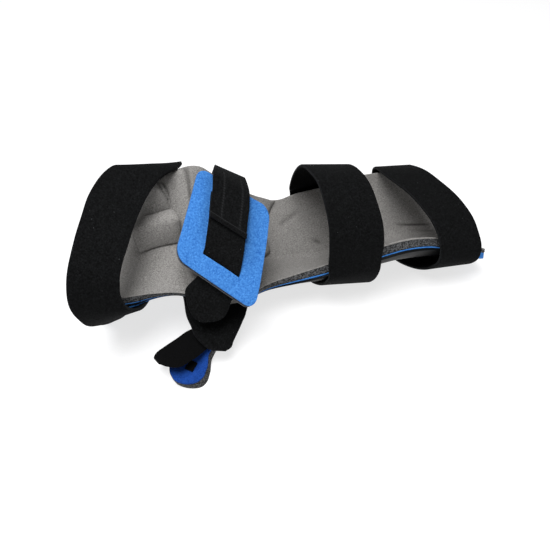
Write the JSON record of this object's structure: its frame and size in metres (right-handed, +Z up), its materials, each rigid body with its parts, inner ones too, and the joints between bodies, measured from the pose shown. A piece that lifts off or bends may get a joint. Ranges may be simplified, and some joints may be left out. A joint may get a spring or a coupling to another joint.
{
  "type": "resting hand splint",
  "caption": "Padded resting hand splint with a bent forearm and finger tray, palm insert, finger blocks, thumb rest and loop-cloth straps.",
  "frame": {"origin": "centre of the bounding box, on the floor the splint lies on", "axes": "+X to the elbow along the forearm, -X to the fingertips, -Y to the thumb side, +Z up"},
  "size_m": [0.364, 0.1606, 0.1302],
  "materials": {
    "liner_fabric": "brushed, matt",
    "foam": "cut closed-cell foam, matt",
    "blue_loop": "napped loop cloth, matt",
    "black_loop": "napped loop webbing, matt",
    "pad_lining": "knitted, matt",
    "shell_plastic": "moulded, satin"
  },
  "bodies": {
    "root": {"liner_face": "liner_fabric", "liner_foam": "foam", "liner_backing": "blue_loop", "shell": "shell_plastic", "finger_patch": "blue_loop", "palm_pad": "liner_fabric", "finger_separator_near": "liner_fabric", "finger_separator_mid": "liner_fabric", "finger_separator_far": "liner_fabric", "finger_strap": "black_loop", "mid_strap": "black_loop", "end_strap": "black_loop", "hand_pad_face": "blue_loop", "hand_pad_foam": "foam", "hand_pad_lining": "pad_lining", "hand_strap_upper": "black_loop", "hand_strap_lower": "black_loop", "thumb_foam": "foam", "thumb_face": "blue_loop", "thumb_wrap": "black_loop", "thumb_strap": "black_loop", "thumb_tab": "black_loop"}
  },
  "joints": []
}
